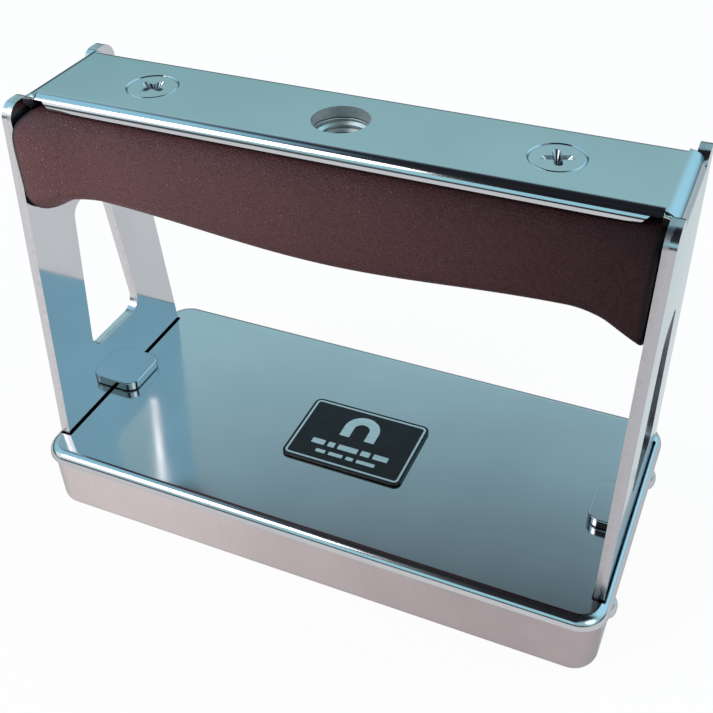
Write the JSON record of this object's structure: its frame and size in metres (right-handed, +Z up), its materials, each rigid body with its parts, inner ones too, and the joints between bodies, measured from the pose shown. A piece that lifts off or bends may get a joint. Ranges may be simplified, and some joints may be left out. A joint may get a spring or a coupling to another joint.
{
  "type": "magnetic pick-up tool",
  "caption": "Hand-held magnetic pick-up tool: flat stainless magnet box with a bright steel handle frame and a brown leather-grain grip, which lifts to drop its load",
  "frame": {"origin": "centre of the magnet box's underside", "axes": "+X along the grip, the view's right; +Y across the grip, away from the view; +Z up, from the box to the grip"},
  "size_m": [0.193, 0.091, 0.141],
  "materials": {
    "zinc_steel": "bright zinc-plated steel sheet, near mirror",
    "stainless": "satin stainless sheet",
    "grip_vinyl": "brown leather-grain vinyl",
    "core_steel": "plain machined steel",
    "yoke_steel": "plain steel plate",
    "ferrite": "dark grey ferrite ceramic",
    "name_plate": "black printed foil with a silver border, left blank"
  },
  "bodies": {
    "box": {"pan": "stainless", "lid": "zinc_steel", "name_plate": "name_plate", "rivet_left_front": "zinc_steel", "rivet_left_rear": "zinc_steel", "rivet_right_front": "zinc_steel", "rivet_right_rear": "zinc_steel"},
    "lifting_frame": {"handle_frame": "zinc_steel", "grip_cover": "grip_vinyl", "grip_core": "core_steel", "grip_screw_left": "zinc_steel", "grip_screw_right": "zinc_steel", "yoke_plate": "yoke_steel", "magnet_1": "ferrite", "magnet_2": "ferrite", "magnet_3": "ferrite", "magnet_4": "ferrite", "magnet_5": "ferrite", "magnet_6": "ferrite", "magnet_7": "ferrite", "magnet_8": "ferrite"}
  },
  "joints": [
    {"name": "frame_lift", "type": "slide", "parent": "box", "child": "lifting_frame", "axis": [0, 0, 1], "range_m": [0, 0.006]}
  ]
}
